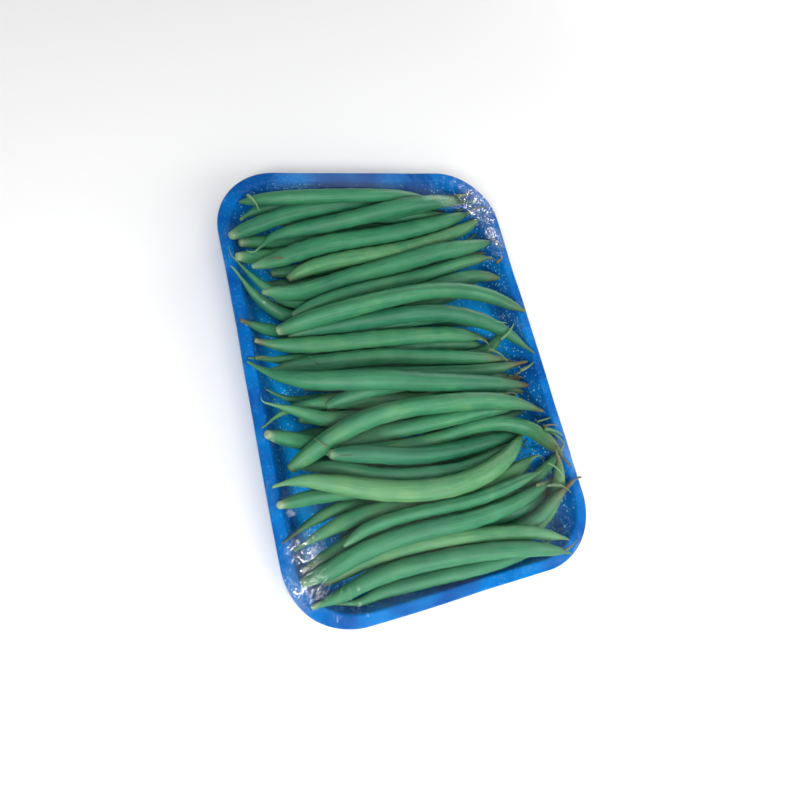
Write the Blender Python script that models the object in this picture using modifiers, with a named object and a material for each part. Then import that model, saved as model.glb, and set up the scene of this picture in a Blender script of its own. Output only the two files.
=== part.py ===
"""A bundle of green beans, packed in a foam tray under clear stretch film.

The tray stands on the ground, +Z up, with its long side along Y and its short
side along X. The origin is in the middle of the pack's underside. The beans
lie across the tray, one on another, and the film goes over everything and is
turned under the base.
"""

import math
import random

import bmesh
import bpy
import numpy as np

MM = 0.001
GAP = 0.3

# Driving dimensions of the foam tray, in millimetres
TRAY_WIDTH = 146.0
TRAY_LENGTH = 210.0
TRAY_HEIGHT = 19.0
FOAM = 2.8
LIP = 5.0
WALL_RUN = 7.5
RIM_CORNER = 30.0
FLOOR_CORNER = 22.0
FOOT_FILLET = 4.0
LIP_ROUND = 1.5
LIP_DROP = 1.6
CORNER_STEPS = 7
SIDE_STEPS = 4

# Driving dimensions of the film, in millimetres
FILM = 0.6
HEM = 26.0
FILM_CELLS = (20, 28)
FILM_CLEARANCE = 0.5
LETTING_DOWN_STEPS = 150

# Heights above the ground, in millimetres
TRAY_BASE = FILM + GAP
FLOOR_TOP = TRAY_BASE + FOAM
RIM_TOP = TRAY_BASE + TRAY_HEIGHT

# The beans' plan was laid out on the plane of the rim, as seen from this eye
# point (millimetres, its height counted from the rim): a bean that lies
# deeper is further along the same line of sight.
EYE = (-95.2, -69.9, 222.6)

# The radius, in millimetres, of the arc that a bean sags along between what
# carries it, as the beans are first laid one on another
SAG_RADIUS = 260.0

# How the loose pile is then bedded down: the height in millimetres that it is
# pressed towards and the share of its rise that is kept, how far each bean
# sinks at a step and for how many steps, for how many steps it is drawn back
# to its place in the plan, and how many steps there are in all
LOWEST_CENTRE = FLOOR_TOP + 4.0
SQUEEZE = 0.6
SINK = 0.2
SINKING_STEPS = 110
DRAWN_BACK = 0.99
DRAWN_STEPS = 330
BEDDING_STEPS = 480

# The shares of a push that a bean gives way by, upright and sideways, the room
# in millimetres kept beyond the gap, and how the wall turns a bean's end
GIVE = 1.25
SIDEWAYS = 0.6
BEDDING_ALLOWANCE = 0.4
WALL_REACH = LIP + WALL_RUN + 3.0
WALL_LIFT = 0.6
WALL_TURN = 0.15
MOST_WALL_TURN = 0.3

# Points along a bean while it beds down, and in its finished trail
BEDDING_POINTS = 44
TRAIL_POINTS = 90

# Share of the full thickness at distances (in shares of the length) from an
# end: trimmed, with its stalk, drawn out to a point, or with a thin tail.
ENDS = {
    "cut": ((0.0, 0.62), (0.035, 0.86), (0.10, 0.97), (0.20, 1.0)),
    "stem": ((0.0, 0.36), (0.035, 0.38), (0.10, 0.76), (0.20, 0.95), (0.33, 1.0)),
    "tip": ((0.0, 0.24), (0.035, 0.50), (0.10, 0.80), (0.20, 0.95), (0.33, 1.0)),
    "tail": ((0.0, 0.13), (0.035, 0.20), (0.10, 0.50), (0.20, 0.84), (0.33, 1.0)),
}
STATIONS = (0.0, 0.035, 0.10, 0.20, 0.33, 0.47, 0.61, 0.74, 0.86, 0.95, 1.0)

# The beans that lie on the floor, under the rest
FLOOR_BEANS = 6
FLOOR_BEAN_LENGTH = 104.0
FLOOR_BEAN_THICKNESS = 7.0

# The other beans, from the lowest to the highest: points along each one in
# plan (millimetres, left to right), its thickness and its two ends
BEANS = [
    # low, at the far end
    ([(-62, 89), (-40, 89.5), (-10, 89), (20, 88), (42, 84)], 6.2, "tip", "tail"),
    ([(-63, 80.5), (-52, 83.5), (-20, 82), (10, 78), (40, 80)], 6.6, "stem", "tip"),
    ([(-66, 68), (-50, 66), (-30, 67.5), (0, 72), (30, 76), (50, 80)], 7.2, "cut", "tip"),
    ([(-67, 61), (-55, 58), (-30, 58.5), (0, 61), (30, 66), (50, 72)], 7.2, "cut", "tip"),
    ([(-54, 51), (-40, 49.5), (-20, 50.5), (10, 54), (40, 60), (58, 66)], 7.2, "cut", "tail"),
    ([(-56, 46), (-40, 45.3), (-20, 47), (10, 47), (40, 51), (58, 53)], 6.4, "cut", "tip"),
    ([(-68, 59), (-58, 48), (-46, 40), (-15, 33), (20, 30), (45, 36)], 6.6, "tail", "tip"),
    ([(-70, 54), (-60, 39.5), (-48, 30), (-20, 21.5), (15, 17.5), (45, 16.5)], 7.2, "tail", "cut"),
    ([(-45, 28), (-15, 33), (10, 37.5), (30, 42), (48, 43.5), (63, 40)], 7.2, "tip", "tip"),
    # low, in the middle
    ([(-72, 33), (-62, 25.5), (-50, 20), (-20, 16), (15, 21), (42, 24)], 6.8, "stem", "tip"),
    ([(-69, 10.5), (-58, 12), (-40, 12), (-20, 10.5), (10, 7), (42, 2.5)], 6.8, "tail", "tip"),
    ([(-40, 2), (-10, 3), (20, 6), (40, 4.5), (55, 8.5)], 6.6, "tip", "cut"),
    ([(-50, -4), (-20, -7), (10, -9), (35, -11), (56, -15)], 6.6, "tip", "stem"),
    ([(-66, -3), (-56, -8.5), (-40, -10.3), (-20, -12), (10, -14), (44, -19)], 6.4, "tail", "tip"),
    ([(-69, -16.3), (-60, -14.3), (-45, -15.5), (-15, -18), (20, -21), (46, -24)], 6.8, "tail", "tip"),
    ([(-62, -21), (-50, -21.7), (-30, -24), (0, -27), (35, -29), (54, -27)], 6.6, "tip", "tip"),
    ([(-52, -34), (-20, -35.5), (5, -37), (30, -36.8), (56, -39)], 6.4, "tip", "tip"),
    # low, at the near end
    ([(-69.5, -52), (-58, -50), (-40, -50), (-10, -54), (20, -55), (42, -52)], 6.6, "cut", "tip"),
    ([(-69, -64), (-60, -59), (-47, -55), (-33, -56), (-5, -60.5), (30, -62), (48, -58)],
     7.4, "tail", "tip"),
    ([(-48, -69), (-20, -68.5), (10, -68.5), (30, -66.5), (50, -61.3), (68, -53)], 6.8, "tip", "stem"),
    ([(-64, -77.5), (-50, -73.5), (-36, -70), (-10, -70), (15, -69.8), (42, -67)], 6.8, "cut", "tip"),
    ([(-30, -77), (0, -79), (25, -79), (42, -76.5), (54, -69.5)], 7.4, "tip", "tip"),
    ([(-25, -84), (10, -86), (32, -84.5), (48, -79.5), (60, -69), (66, -57)], 7.2, "tip", "tip"),
    ([(-20, -80), (30, -83), (45, -81.5), (57, -75.5), (67, -70.5)], 6.4, "tip", "stem"),
    ([(-56, -93.2), (-46, -94), (-34, -91.5), (-10, -91), (20, -93), (45, -94)], 5.8, "tail", "tip"),
    # high, at the far end
    ([(-67.8, 69.6), (-57.8, 74.2), (-39.8, 80.2), (-17.8, 82.9), (5.2, 83.6), (40.3, 80.2)],
     7.8, "cut", "tail"),
    ([(-46, 74.8), (-29.8, 77.7), (-9.6, 80.5), (20.7, 84.9), (46, 85)], 6.2, "stem", "tip"),
    ([(-59, 61), (-48, 70), (-30, 75.3), (0, 82.5), (20, 86.5), (42, 87.5), (54, 85.5)],
     8.2, "tail", "tip"),
    ([(-47, 51.5), (-35, 54.8), (-10, 57), (10, 59), (30, 63.5), (50, 71), (60, 77)], 7.8, "cut", "tip"),
    ([(-61, 56), (-50, 58.2), (-30, 63), (0, 65.7), (20, 69), (42, 76), (54, 82)], 8.6, "tip", "tip"),
    ([(-48, 32), (-30, 33.5), (-10, 37), (10, 42), (30, 48), (48, 51.5), (60, 50)], 7.4, "cut", "tip"),
    ([(-59, 40.3), (-42, 38), (-20, 43), (10, 51), (30, 56.5), (50, 59), (63, 60.5)], 8.8, "tip", "tip"),
    # high, in the middle
    ([(-52, 21), (-25, 20.7), (0, 23.5), (22, 25.6), (42.1, 21.6), (57.1, 11.6), (69.1, -4.4)],
     7.8, "tip", "tail"),
    ([(-66, 17), (-58, 16.4), (-40, 17), (-15, 16.7), (10, 13.5), (28, 10.3), (40, 6.5)],
     7.8, "stem", "cut"),
    ([(-56, 23.7), (-40, 26), (-15, 29.6), (15, 33.6), (35, 33.7), (52, 30.3), (71, 21.5)],
     8.4, "cut", "tip"),
    ([(-45, 3), (-30, 0.5), (-10, -2.8), (15, -5.3), (40, -7), (61, -6.5)], 6.2, "cut", "stem"),
    ([(-61, 5.5), (-50, 6.5), (-30, 6.5), (-10, 5.5), (15, 1.6), (52, -3)], 7.4, "tip", "tip"),
    ([(-41, -12.5), (-20, -13.5), (0, -14.8), (20, -16.7), (40, -19.5), (56, -24)], 6.8, "cut", "tip"),
    ([(-71, 11), (-64, 5.5), (-54, 0.5), (-40, -2.5), (-15, -6), (10, -10.8), (35, -14.6), (60, -18.3)],
     8.4, "tail", "stem"),
    ([(-67, -7.5), (-57, -12), (-45, -18), (-33, -21), (0, -23), (35, -24.5), (50, -22)],
     7.6, "tail", "cut"),
    ([(-69.6, -24.3), (-55.5, -27.5), (-40.5, -29.3), (-20.4, -28), (-0.2, -27), (29.9, -27.8),
      (48, -31)], 7.4, "cut", "tip"),
    ([(-48.5, -31.3), (-25.4, -31.7), (-0.3, -33.2), (24.8, -32.7), (41.9, -35.6), (56, -42.6),
      (66, -53.6)], 7.6, "tip", "cut"),
    ([(-61.5, -38), (-50, -31), (-35, -23.7), (-15, -19.2), (5, -20), (30, -23), (50, -28), (62, -33.5)],
     8.6, "cut", "stem"),
    # high, at the near end
    ([(-40, -37.5), (-27, -42.5), (-10, -47), (10, -48.5), (30, -46.8), (44, -44)], 6.6, "stem", "tip"),
    ([(-44, -32), (-30, -35), (-15, -39.5), (0, -42.3), (20, -42.7), (48, -40)], 7.8, "cut", "tip"),
    ([(-58, -35.5), (-45, -39.7), (-25, -48), (0, -51.2), (18, -51.5), (37, -48.5)], 7.6, "tip", "tip"),
    ([(-67, -69.5), (-57, -66), (-42, -62.7), (-20, -61.8), (10, -62), (33, -58.5), (50, -50)],
     8.2, "tail", "tip"),
    ([(-71, -44.5), (-60, -43), (-40, -48.5), (-20, -56), (5, -60.2), (25, -57.5), (39, -50), (48, -40.5)],
     9.0, "tail", "tip"),
    ([(-47, -70.5), (-35, -66.8), (-15, -66.2), (10, -66.8), (30, -63.8), (50, -57.5)], 6.6, "tip", "tip"),
    ([(-58, -83.5), (-45, -82), (-25, -80.8), (0, -81.5), (22, -84), (40, -88), (54, -94.5)],
     6.8, "tip", "tip"),
    ([(-66, -81.5), (-50, -80), (-35, -76.5), (-10, -74.5), (15, -73.7), (38, -70.3), (56, -66.6)],
     7.6, "cut", "tip"),
    ([(-64, -88.5), (-52, -88), (-35, -85.8), (-10, -87.5), (15, -90.3), (38, -93.8), (53, -97)],
     7.6, "stem", "tip"),
]

BEAN_GREEN = (0.095, 0.35, 0.16, 1.0)
TRAY_BLUE = (0.005, 0.12, 0.55, 1.0)
FILM_CLEAR = (0.95, 0.97, 1.0, 1.0)


def material(name, colour, roughness, alpha=1.0):
    """A plain material with one colour."""
    made = bpy.data.materials.new(name)
    made.use_nodes = True
    shader = made.node_tree.nodes["Principled BSDF"]
    shader.inputs["Base Color"].default_value = colour
    shader.inputs["Roughness"].default_value = roughness
    shader.inputs["Metallic"].default_value = 0.0
    shader.inputs["Alpha"].default_value = alpha
    return made


def clear_scene():
    """Remove whatever the scene holds."""
    for thing in list(bpy.data.objects):
        bpy.data.objects.remove(thing, do_unlink=True)


def edge_distance(x, y, half_x, half_y, corner):
    """Distance outside (or, below zero, inside) a rounded rectangle."""
    out_x = np.abs(x) - (half_x - corner)
    out_y = np.abs(y) - (half_y - corner)
    outside = np.hypot(np.maximum(out_x, 0.0), np.maximum(out_y, 0.0))
    return outside + np.minimum(np.maximum(out_x, out_y), 0.0) - corner


def outline(half_x, half_y, corner):
    """Points round a rounded rectangle, anticlockwise, closer in its corners."""
    side_x = half_x - corner
    side_y = half_y - corner
    points = []
    for turn, (centre_x, centre_y) in enumerate(((side_x, side_y), (-side_x, side_y),
                                                 (-side_x, -side_y), (side_x, -side_y))):
        for step in range(CORNER_STEPS + 1):
            angle = 0.5 * math.pi * (turn + step / CORNER_STEPS)
            points.append((centre_x + corner * math.cos(angle), centre_y + corner * math.sin(angle)))
        next_x, next_y = ((-side_x, half_y), (-half_x, -side_y), (side_x, -half_y), (half_x, side_y))[turn]
        last_x, last_y = points[-1]
        for step in range(1, SIDE_STEPS):
            share = step / SIDE_STEPS
            points.append((last_x + (next_x - last_x) * share, last_y + (next_y - last_y) * share))
    return points


def tray_profile():
    """The tray's upper surface from the floor's edge out to the rim's edge.

    Each entry is the distance in from the outer edge, and the height.
    """
    wall_top_in = LIP
    wall_foot_in = LIP + WALL_RUN
    slope = math.atan2(RIM_TOP - FLOOR_TOP, WALL_RUN)
    profile = []
    foot = FOOT_FILLET * math.tan(slope / 2)
    for step in range(4):
        angle = slope * step / 3
        run = wall_foot_in + foot - FOOT_FILLET * math.sin(angle)
        profile.append((run, FLOOR_TOP + FOOT_FILLET * (1 - math.cos(angle))))
    top = LIP_ROUND * math.tan(slope / 2)
    for step in range(3):
        angle = slope * (1 - step / 2)
        run = wall_top_in - top + LIP_ROUND * math.sin(angle)
        profile.append((run, RIM_TOP - LIP_ROUND * (1 - math.cos(angle))))
    profile.append((LIP_ROUND, RIM_TOP))
    profile.append((0.4 * LIP_ROUND, RIM_TOP - 0.25 * LIP_ROUND))
    profile.append((0.0, RIM_TOP - LIP_DROP))
    return profile


def ring_size(inset):
    """Half width, half length and corner radius of a ring set in from the edge."""
    share = min(inset / (LIP + WALL_RUN), 1.0)
    corner = RIM_CORNER + (FLOOR_CORNER - RIM_CORNER) * share
    return TRAY_WIDTH / 2 - inset, TRAY_LENGTH / 2 - inset, corner


def loft(bm, rings):
    """Join rings of equally many points with quads."""
    for lower, upper in zip(rings, rings[1:]):
        count = len(lower)
        for i in range(count):
            j = (i + 1) % count
            bm.faces.new((lower[i], lower[j], upper[j], upper[i]))


def shell(name, bm, thickness, offset, surface):
    """An open surface thickened into a closed body."""
    mesh = bpy.data.meshes.new(name)
    bm.to_mesh(mesh)
    bm.free()
    mesh.materials.append(surface)
    piece = bpy.data.objects.new(name, mesh)
    parts.objects.link(piece)
    wall = piece.modifiers.new("thickness", "SOLIDIFY")
    wall.thickness = thickness * MM
    wall.offset = offset
    wall.use_even_offset = True
    mesh.shade_smooth()
    mesh.set_sharp_from_angle(angle=math.radians(35))
    return piece


def build_tray():
    """The pressed foam tray: a floor, sloping walls and a lip all round."""
    bm = bmesh.new()
    rings = []
    for inset, height in tray_profile():
        points = outline(*ring_size(inset))
        rings.append([bm.verts.new((x * MM, y * MM, height * MM)) for x, y in points])
    bm.faces.new(rings[0])
    loft(bm, rings[::-1])
    bmesh.ops.recalc_face_normals(bm, faces=bm.faces)
    bm.faces.ensure_lookup_table()
    if bm.faces[0].normal.z < 0:
        bmesh.ops.reverse_faces(bm, faces=bm.faces)
    return shell("tray", bm, FOAM, -1.0, material("tray_foam", TRAY_BLUE, 0.35))


def at_height(x, y, height):
    """Slide a plan point along its line of sight to a height."""
    share = (EYE[2] - (height - RIM_TOP)) / EYE[2]
    return EYE[0] + (x - EYE[0]) * share, EYE[1] + (y - EYE[1]) * share


def smooth_path(points, shares):
    """Points at given shares of the length of a smooth curve through a few."""
    given = np.array(points, dtype=float)
    ends = np.vstack([2 * given[0] - given[1], given, 2 * given[-1] - given[-2]])
    fine = []
    for a, b, c, d in zip(ends, ends[1:], ends[2:], ends[3:]):
        for t in np.linspace(0.0, 1.0, 12, endpoint=False):
            fine.append(0.5 * (2 * b + (c - a) * t + (2 * a - 5 * b + 4 * c - d) * t ** 2
                               + (3 * b - a - 3 * c + d) * t ** 3))
    fine = np.array(fine + [given[-1]])
    along = np.concatenate([[0.0], np.cumsum(np.hypot(*np.diff(fine, axis=0).T))])
    want = np.array(shares) * along[-1]
    return np.column_stack([np.interp(want, along, fine[:, k]) for k in range(2)]), along[-1]


def thickness_at(shares, thickness, left, right):
    """Radius of a bean at shares of its length."""
    left_at, left_share = zip(*ENDS[left])
    right_at, right_share = zip(*ENDS[right])
    from_left = np.interp(shares, left_at, left_share)
    from_right = np.interp(1 - shares, right_at, right_share)
    return 0.5 * thickness * from_left * from_right


def tray_height(x, y, reach):
    """Lowest centre height at which balls of these radii clear the tray."""
    lowest = FLOOR_TOP + reach
    profile = tray_profile()
    for (inset_a, height_a), (inset_b, height_b) in zip(profile, profile[1:]):
        pieces = max(2, int(math.hypot(inset_b - inset_a, height_b - height_a)) + 1)
        for t in np.linspace(0.0, 1.0, pieces):
            inset = inset_a + (inset_b - inset_a) * t
            height = height_a + (height_b - height_a) * t
            away = edge_distance(x, y, *ring_size(inset))
            touch = height + np.sqrt(np.maximum(reach ** 2 - away ** 2, 0.0))
            lowest = np.where(np.abs(away) < reach, np.maximum(lowest, touch), lowest)
    return lowest


def rest_height(x, y, radius, placed):
    """Lowest centre heights that clear the tray and the beans placed so far."""
    reach = radius + GAP
    lowest = tray_height(x, y, reach)
    if len(placed):
        away = np.hypot(x[:, None] - placed[None, :, 0], y[:, None] - placed[None, :, 1])
        sum_reach = reach[:, None] + placed[None, :, 3]
        rise = placed[None, :, 2] + np.sqrt(np.maximum(sum_reach ** 2 - away ** 2, 0.0))
        lowest = np.maximum(lowest, np.where(away < sum_reach, rise, 0.0).max(axis=1))
    return lowest


def drape(along, needed):
    """The lowest gentle arc along a bean that stays above what it needs."""
    apart = along[:, None] - along[None, :]
    arc = (needed[None, :] - apart ** 2 / (2 * SAG_RADIUS)).max(axis=1)
    weight = np.exp(-(apart / 7.0) ** 2)
    return (weight @ arc) / weight.sum(axis=1)


def lay_down(points, radii, placed, seen):
    """Heights of one bean's stations: as low as what lies beneath allows."""
    shares = np.array(STATIONS)
    length = np.hypot(*np.diff(points, axis=0).T).sum()
    dense = np.linspace(0.0, 1.0, int(length / 1.4))
    arc = np.full(len(shares), RIM_TOP - 4.0)
    for _ in range(4):
        x, y = at_height(points[:, 0], points[:, 1], arc) if seen else points.T
        needed = rest_height(np.interp(dense, shares, x), np.interp(dense, shares, y),
                             np.interp(dense, shares, radii), placed)
        arc = np.interp(shares, dense, drape(dense * length, needed))
        for _ in range(16):
            short = needed - np.interp(dense, shares, arc)
            if short.max() < 0.005:
                break
            near = np.abs(dense[:, None] - shares[None, :]) < 0.14
            arc = arc + np.where(near, np.maximum(short, 0.0)[:, None], 0.0).max(axis=0)
    stack = np.column_stack([x, y, arc, radii])
    return stack, np.column_stack([np.interp(dense, shares, stack[:, k]) for k in range(4)])


def floor_plan(index, draw):
    """Plan of one of the beans that lie on the floor."""
    step = (TRAY_LENGTH - 2 * (LIP + WALL_RUN) - 24.0) / (FLOOR_BEANS - 1)
    y = (index - (FLOOR_BEANS - 1) / 2) * step + draw.uniform(-3.0, 3.0)
    tilt = draw.uniform(-5.0, 5.0)
    bow = draw.uniform(-4.0, 4.0)
    half = FLOOR_BEAN_LENGTH / 2
    return [(-half, y - tilt), (-half / 3, y + bow), (half / 3, y + bow), (half, y + tilt)]


def close_pairs(x, y, z, owner, reach):
    """Pairs of points of different beans that are nearer than a reach."""
    first, second = [], []
    for k in range(0, len(x), 400):
        rows = slice(k, k + 400)
        apart = sum((along[rows, None] - along[None]) ** 2 for along in (x, y, z))
        i, j = np.nonzero((apart < reach ** 2) & (owner[rows, None] < owner[None]))
        first.append(i + k)
        second.append(j)
    return np.concatenate(first), np.concatenate(second)


def bean_places(plans, heights, aside, seen):
    """Where the points of all beans are, given their heights and side steps."""
    x, y = at_height(plans[..., 0], plans[..., 1], heights)
    x = np.where(seen[:, None], x, plans[..., 0]) + aside[..., 0]
    y = np.where(seen[:, None], y, plans[..., 1]) + aside[..., 1]
    return np.stack([x, y, heights], axis=2)


def bed_down(plans, heights, radii, seen):
    """Let the beans sink and nudge each other aside until they lie snug.

    Every bean keeps its read shape but for a gentle bend, and is drawn back
    to its place in the plan.
    """
    count, samples = radii.shape
    t = np.linspace(-1.0, 1.0, samples)
    shapes = np.stack([np.ones(samples), t, t ** 2 - 1 / 3, t ** 3 - 0.6 * t], axis=1)
    owner = np.repeat(np.arange(count), samples)
    aside = np.zeros((count, samples, 2))
    ball = radii.ravel()
    for step in range(BEDDING_STEPS):
        place = bean_places(plans, heights, aside, seen).reshape(-1, 3)
        if step % 10 == 0:
            first, second = close_pairs(*place.T, owner, 2 * ball.max() + 4.0)
        apart = place[first] - place[second]
        distance = np.sqrt((apart ** 2).sum(axis=1)) + 1e-6
        deep = ball[first] + ball[second] + GAP + BEDDING_ALLOWANCE - distance
        touch = deep > 0
        push = apart[touch] / distance[touch, None] * deep[touch, None] * 0.5
        one, other = first[touch], second[touch]
        times = np.bincount(one, minlength=len(ball)) + np.bincount(other, minlength=len(ball))
        shift = np.zeros_like(place)
        for k in range(3):
            shift[:, k] += np.bincount(one, push[:, k], len(ball))
            shift[:, k] -= np.bincount(other, push[:, k], len(ball))
        shift /= np.maximum(times, 1)[:, None]
        below = tray_height(place[:, 0], place[:, 1], ball + GAP) - place[:, 2]
        stuck = below > 0
        on_wall = edge_distance(place[:, 0], place[:, 1], *ring_size(WALL_REACH)) > 0
        turn = np.where(stuck & on_wall, np.minimum(WALL_TURN * below, MOST_WALL_TURN), 0.0)
        for k, half in enumerate((TRAY_WIDTH / 2, TRAY_LENGTH / 2)):
            at_wall = np.abs(place[:, k]) > half - WALL_REACH
            shift[:, k] -= turn * np.sign(place[:, k]) * at_wall
        shift[:, 2] += np.where(stuck, np.where(on_wall, WALL_LIFT, 1.0) * below, 0.0)
        weight = np.where((times > 0) | stuck, 1.0, 0.04).reshape(count, samples)
        shift = shift.reshape(count, samples, 3)
        square = np.einsum("sa,bs,sc->bac", shapes, weight, shapes) + 1e-3 * np.eye(shapes.shape[1])
        answer = np.linalg.solve(square, np.einsum("sa,bs,bsk->bak", shapes, weight, shift))
        move = GIVE * np.einsum("sa,bak->bsk", shapes, answer)
        pull = DRAWN_BACK if step < DRAWN_STEPS else 1.0
        aside = (aside + SIDEWAYS * move[..., :2]) * pull
        heights = heights + move[..., 2] - (SINK if step < SINKING_STEPS else 0.0)
    return bean_places(plans, heights, aside, seen)


def lay_beans():
    """Lay the beans one on another, then bed them down until they lie snug."""
    draw = random.Random(12)
    rows = [(floor_plan(k, draw), FLOOR_BEAN_THICKNESS, "cut", "tip", False)
            for k in range(FLOOR_BEANS)]
    rows += [(plan, thickness, left, right, True) for plan, thickness, left, right in BEANS]
    shares = np.array(STATIONS)
    even = np.linspace(0.0, 1.0, BEDDING_POINTS)
    placed = np.zeros((0, 4))
    plans, heights, radii, seen = [], [], [], []
    for plan, thickness, left, right, in_view in rows:
        points, _ = smooth_path(plan, shares)
        station_radii = thickness_at(shares, thickness, left, right)
        stack, trail = lay_down(points, station_radii, placed, in_view)
        placed = np.vstack([placed, trail])
        plans.append(smooth_path(plan, even)[0])
        heights.append(np.interp(even, shares, stack[:, 2]))
        radii.append(np.interp(even, shares, station_radii))
        seen.append(in_view)
    heights = LOWEST_CENTRE + (np.array(heights) - LOWEST_CENTRE) * SQUEEZE
    place = bed_down(np.array(plans), heights, np.array(radii), np.array(seen))
    laid = []
    for path, radius in zip(place, radii):
        columns = [path[:, 0], path[:, 1], path[:, 2], radius]
        laid.append(np.column_stack([np.interp(shares, even, column) for column in columns]))
    fine = np.linspace(0.0, 1.0, TRAIL_POINTS)
    trails = [np.column_stack([np.interp(fine, shares, stack[:, k]) for k in range(4)]) for stack in laid]
    return laid, np.vstack(trails)


def build_bean(name, stack, surface):
    """One bean: an eight-sided tube of changing thickness along its path."""
    path = bpy.data.curves.new(name, "CURVE")
    path.dimensions = "3D"
    path.bevel_depth = MM
    path.bevel_resolution = 2
    path.use_fill_caps = True
    line = path.splines.new("POLY")
    line.points.add(len(stack) - 1)
    for point, (x, y, z, radius) in zip(line.points, stack):
        point.co = (x * MM, y * MM, z * MM, 1.0)
        point.radius = radius
    path.materials.append(surface)
    piece = bpy.data.objects.new(name, path)
    parts.objects.link(piece)
    return piece


def film_grid(cells_x, cells_y):
    """Plan points of the film's top, on a grid drawn in at the rounded corners."""
    half_x, half_y, corner = ring_size(LIP_ROUND)
    u, v = np.meshgrid(np.linspace(-1, 1, cells_x + 1), np.linspace(-1, 1, cells_y + 1), indexing="ij")
    ring = np.maximum(np.abs(u), np.abs(v))
    safe = np.where(ring > 0, ring, 1.0)
    x = np.abs(u) / safe * half_x
    y = np.abs(v) / safe * half_y
    past_x = x - (half_x - corner)
    past_y = y - (half_y - corner)
    turned = (past_x > 0) & (past_y > 0)
    stretch = corner / np.where(turned, np.hypot(past_x, past_y), 1.0)
    x = np.where(turned, half_x - corner + past_x * stretch, x)
    y = np.where(turned, half_y - corner + past_y * stretch, y)
    return np.sign(u) * x * ring, np.sign(v) * y * ring


def top_of_beans(x, y, placed, clearance):
    """Height of the beans' upper surface, with a clearance, at plan points."""
    height = np.zeros(x.shape)
    for px, py, pz, radius in placed:
        away = np.hypot(x - px, y - py)
        reach = radius + clearance
        inside = away < reach
        height[inside] = np.maximum(height[inside], pz + np.sqrt(reach ** 2 - away[inside] ** 2))
    return height


def stretch_film(x, y, placed):
    """Heights of a taut sheet over the beans and the rim.

    It is let down from above until each point rests on what it covers, or
    hangs level with its neighbours. Its edge comes down to the rim, except
    where the end of a bean holds it up.
    """
    shares = np.linspace(0.0, 1.0, 8)
    s, t = [a.ravel() for a in np.meshgrid(shares, shares, indexing="ij")]
    corners = ((0, 0), (1, 0), (1, 1), (0, 1))
    # A cell may be cut in two triangles along either of its diagonals
    cut_down = [np.maximum(1 - s - t, 0), np.minimum(s, 1 - t),
                np.maximum(s + t - 1, 0), np.minimum(t, 1 - s)]
    cut_up = [1 - np.maximum(s, t), np.maximum(s - t, 0), np.minimum(s, t), np.maximum(t - s, 0)]
    weights = np.concatenate([cut_down, cut_up], axis=1)

    def at_corner(grid, corner):
        i, j = corner
        return grid[i:grid.shape[0] - 1 + i, j:grid.shape[1] - 1 + j]

    def inside_cells(grid):
        return sum(at_corner(grid, c)[..., None] * w for c, w in zip(corners, weights))

    fine_x = inside_cells(x)
    fine_y = inside_cells(y)
    floor = top_of_beans(fine_x, fine_y, placed, FILM_CLEARANCE)
    on_lip = edge_distance(fine_x, fine_y, *ring_size(LIP + 1.0)) > 0
    floor = np.where(on_lip, np.maximum(floor, RIM_TOP + GAP), floor)
    height = np.full(x.shape, floor.max())
    level = np.full(x.shape, RIM_TOP + GAP)
    for step in range(4 * LETTING_DOWN_STEPS):
        room = np.maximum(inside_cells(height) - floor, 0.0)
        free = np.full(x.shape, np.inf)
        for corner, weight in zip(corners, weights):
            part = at_corner(free, corner)
            bound = weight > 0.001
            np.minimum(part, (room[..., bound] / weight[bound]).min(axis=2), out=part)
        sides = height[:-2, 1:-1] + height[2:, 1:-1]
        ends = height[1:-1, :-2] + height[1:-1, 2:]
        level[1:-1, 1:-1] = 0.25 * (sides + ends)
        lowered = np.maximum(level, height - free)
        i, j = step % 2, step // 2 % 2
        height[i::2, j::2] = lowered[i::2, j::2]
    return height


def grid_border(cells_x, cells_y):
    """Indices round the border of the film's grid, in order."""
    border = [(i, 0) for i in range(cells_x)]
    border += [(cells_x, j) for j in range(cells_y)]
    border += [(i, cells_y) for i in range(cells_x, 0, -1)]
    border += [(0, j) for j in range(cells_y, 0, -1)]
    return border


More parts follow.
